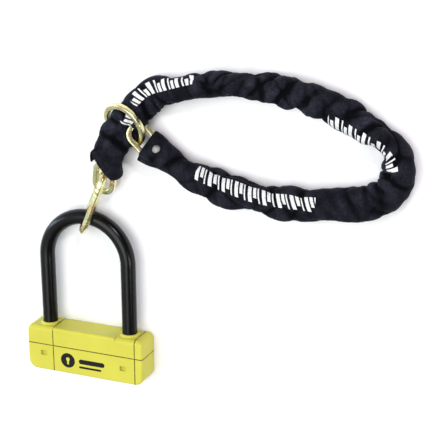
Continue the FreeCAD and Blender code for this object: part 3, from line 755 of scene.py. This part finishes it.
def bent_bar(name, node, line, total, wire, twist, place, material, body, weld_at):
    """A closed bar of rounded square section along a flat line, with a weld seam at one point of it."""
    turn = math.radians(twist)
    section = [(x * math.cos(turn) - y * math.sin(turn), x * math.sin(turn) + y * math.cos(turn))
               for x, y in rounded_square(WIRE_SIDE * wire, WIRE_CORNER * wire)]
    verts = []
    for k, (x, y, ox, oy) in enumerate(line):
        weld = weld_swell(((k / len(line) - weld_at + 0.5) % 1 - 0.5) * total)
        for across, up in section:
            swell = 1 + weld * (1 + 0.35 * math.sin(9 * across / wire + 7 * up / wire))
            verts.append(place @ Vector((x + ox * across * swell, y + oy * across * swell, up * swell)))
    faces = closed_grid(len(line), len(section), True)
    made = new_piece(name, verts, faces, material, body)
    face_outwards(made.data)
    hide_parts(node)
    return made


def link_pose(centre, yaw, pitch, roll):
    """A link's place: length along its heading, its flat rolled about that from level."""
    yaw, pitch, roll = (math.radians(value) for value in (yaw, pitch, roll))
    along = Vector((math.cos(yaw) * math.cos(pitch), math.sin(yaw) * math.cos(pitch), math.sin(pitch)))
    level = Vector((0, 0, 1)).cross(along).normalized()
    across = level * math.cos(roll) + along.cross(level) * math.sin(roll)
    return Matrix.Translation(centre) @ axes(along, across, along.cross(across))


def make_links(zinc):
    """The long link, the two end links of the chain that show, and the ring."""
    made = []
    for name, node, centre, angles, size, wire, twist, body, weld in LINKS:
        line, total = racetrack(*size, wire)
        place = link_pose(Vector(centre), *angles)
        made.append(bent_bar(name, node, line, total, wire, twist, place, zinc, body, weld))
    lean = math.radians(NOOSE_RING_LEAN)
    level_x, level_y = NOOSE_RING_LEVEL
    level = Vector((level_x, level_y, 0))
    rising = Vector((-level_y * math.cos(lean), level_x * math.cos(lean), math.sin(lean)))
    place = Matrix.Translation(NOOSE_RING_MIDDLE) @ axes(level, rising, level.cross(rising))
    line = [(NOOSE_RING_RADIUS * x, NOOSE_RING_RADIUS * y, x, y) for x, y in circle(NOOSE_RING_POINTS)]
    made.append(bent_bar("noose_ring_bar", "noose_ring", line, 2 * math.pi * NOOSE_RING_RADIUS, END_WIRE, 0,
                         place, zinc, "ring", NOOSE_RING_WELD))
    return made


# ---------------------------------------------------------------- rivet and printed mark
RIVET_ROW = 9
RIVET_TILT = 35  # degrees from the sleeve's top towards its left side
RIVET_RAISE = 0.0002
RIVET_POINTS = 48
# radius and height of the rivet's head, from its crown out over the rolled rim and down into the cloth
RIVET_PROFILE = ((0.0, 0.0014), (0.0012, 0.00135), (0.0022, 0.00115), (0.0028, 0.0009), (0.0031, 0.0008),
                 (0.0036, 0.0010), (0.0041, 0.0009), (0.0044, 0.0004), (0.0044, -0.0006), (0.0038, -0.0014))

MARK_Y = -0.0108
MARK_DISC_X = -0.0225
MARK_DISC_RADIUS = 0.0094
MARK_DISC_POINTS = 64
MARK_THICK = 0.00012
# The keyhole in the disc, from the disc's middle: a round head, a straight stem and a wider flat foot.
KEYHOLE_HEAD_RADIUS = 0.0024
KEYHOLE_HEAD_Y = 0.0016
KEYHOLE_STEM_HALF = 0.0013
KEYHOLE_STEM_Y = -0.0012
KEYHOLE_STEM_DROP = 0.004
KEYHOLE_FOOT_Y = -0.0052
KEYHOLE_FOOT_HALF = 0.0021 / 0.69 * 1.35
# The sines of the angles round the disc under which its stem and its foot are drawn.
KEYHOLE_STEM_SINE = -0.35
KEYHOLE_FOOT_SINE = -0.72
# each bar's ends in X, its middle in Y, and half its height
MARK_BARS = ((-0.0075, 0.0270, -0.0098, 0.0030), (-0.0075, 0.0225, -0.0172, 0.0013))


def make_rivet(centres, places, steel):
    """A domed rivet head with a rolled rim, set on the sleeve's upper wall."""
    tangent = Vector(centres[RIVET_ROW + 1] - centres[RIVET_ROW - 1]).normalized()
    column = round((90 - RIVET_TILT) / 360 * SECTION_POINTS)
    spot = Vector(places[RIVET_ROW, column])
    across = Vector(places[RIVET_ROW, column + 4] - places[RIVET_ROW, column - 4]).normalized()
    outward = tangent.cross(across).normalized()
    place = axes(across, outward.cross(across), outward)
    place.translation = spot + outward * RIVET_RAISE
    count = RIVET_POINTS
    verts = [place @ Vector((0, 0, RIVET_PROFILE[0][1]))]
    for radius, height in RIVET_PROFILE[1:]:
        verts += [place @ Vector((radius * x, radius * y, height)) for x, y in circle(count)]
    faces = [(0, 1 + k, 1 + (k + 1) % count) for k in range(count)]
    last_ring = 1 + (len(RIVET_PROFILE) - 2) * count
    for base in range(1, last_ring, count):
        faces += [(base + k, base + count + k, base + count + (k + 1) % count, base + (k + 1) % count)
                  for k in range(count)]
    faces.append(tuple(last_ring + k for k in reversed(range(count))))
    rivet = new_piece("rivet_head", verts, faces, steel, "chain")
    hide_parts("sleeve_rivet")
    return rivet


def keyhole_point(x, y):
    """The keyhole's edge in the direction (x, y) from the disc's middle."""
    if y < KEYHOLE_FOOT_SINE:
        return KEYHOLE_FOOT_HALF * x, KEYHOLE_FOOT_Y
    if y < KEYHOLE_STEM_SINE:
        share = (y - KEYHOLE_STEM_SINE) / (KEYHOLE_STEM_SINE - KEYHOLE_FOOT_SINE)
        return math.copysign(KEYHOLE_STEM_HALF, x), KEYHOLE_STEM_Y + KEYHOLE_STEM_DROP * share
    return KEYHOLE_HEAD_RADIUS * x, KEYHOLE_HEAD_Y + KEYHOLE_HEAD_RADIUS * y


def make_mark(ink):
    """Plain marks printed on the crossbar: a disc with a keyhole left open in it, and two bars."""
    low = max(corner[2] for corner in NODES["centre_lower_cover"].bound_box)
    high = low + MARK_THICK
    verts = []
    for x, y in ((-y, x) for x, y in circle(MARK_DISC_POINTS)):
        rim = (MARK_DISC_X + MARK_DISC_RADIUS * x, MARK_Y + MARK_DISC_RADIUS * y)
        hole_x, hole_y = keyhole_point(x, y)
        hole = (MARK_DISC_X + hole_x, MARK_Y + hole_y)
        verts += [(*rim, low), (*rim, high), (*hole, high), (*hole, low)]
    faces = closed_grid(MARK_DISC_POINTS, 4, True)
    for x0, x1, y, half in MARK_BARS:
        outline = [(middle + half * math.cos(a), y + half * math.sin(a))
                   for middle, start in ((x1 - half, -90), (x0 + half, 90))
                   for a in (math.radians(start + 15 * k) for k in range(13))]
        base, count = len(verts), len(outline)
        verts += [(*point, height) for height in (low, high) for point in outline]
        faces += [tuple(range(base, base + count)), tuple(range(base + count, base + 2 * count))]
        faces += [(base + k, base + (k + 1) % count, base + count + (k + 1) % count, base + count + k)
                  for k in range(count)]
    mesh = bpy.data.meshes.new("printed_mark")
    mesh.from_pydata(verts, [], faces)
    face_outwards(mesh)
    fit_piece("printed_mark", mesh, ink, "crossbar")


# ---------------------------------------------------------------- all together
def dress_frame(by_slot):
    """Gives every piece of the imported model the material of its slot."""
    for node in NODES.values():
        for held in node.material_slots:
            held.material = by_slot[held.material.name.split(".")[0]]


def main():
    make_camera()
    make_stage()
    by_slot = {
        "cover_plastic": yellow_plastic(),
        "shackle_vinyl": vinyl_coat(),
        "hardened_steel": metal("hard_steel", (0.55, 0.55, 0.56), 0.30),
        "spring_steel": metal("spring_wire", (0.50, 0.50, 0.52), 0.25),
        "lock_brass": metal("lock_brass", (0.78, 0.60, 0.30), 0.28),
        "zinc_steel": yellow_zinc(),
        "sleeve_fabric": sleeve_cloth(),
        "rivet_metal": metal("rivet_steel", (0.40, 0.40, 0.36), 0.46),
        "shutter_plastic": simple_plastic("shutter_black", (0.03, 0.03, 0.032), 0.45),
    }
    dress_frame(by_slot)
    sleeve, centres, places = make_sleeve(by_slot["sleeve_fabric"])
    rivet = make_rivet(centres, places, by_slot["rivet_metal"])
    make_mark(simple_plastic("mark_ink", (0.004, 0.004, 0.004), 0.6))
    links = make_links(by_slot["zinc_steel"])


main()
